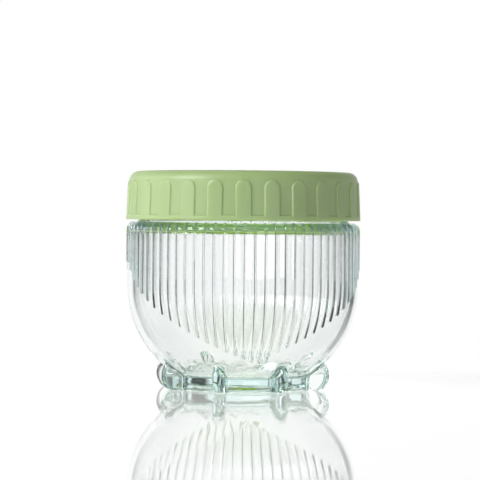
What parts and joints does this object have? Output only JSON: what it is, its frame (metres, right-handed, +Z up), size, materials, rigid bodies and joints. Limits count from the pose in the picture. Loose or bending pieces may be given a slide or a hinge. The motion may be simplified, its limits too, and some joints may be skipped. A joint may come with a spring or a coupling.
{
  "type": "glass storage jar",
  "caption": "Small round glass storage jar with fine vertical ribs, a footed bowl base and a shallow screw-on plastic lid.",
  "frame": {"origin": "centre of the foot, on the surface that the jar stands on", "axes": "+Z up along the jar's axis; the front, where a longest rib is, is -Y; +X is to the right of the front"},
  "size_m": [0.0802, 0.0802, 0.074],
  "materials": {
    "clear_glass": "gloss",
    "green_plastic": "satin"
  },
  "bodies": {
    "root": {"glass_jar": "clear_glass", "screw_lid": "green_plastic"}
  },
  "joints": []
}
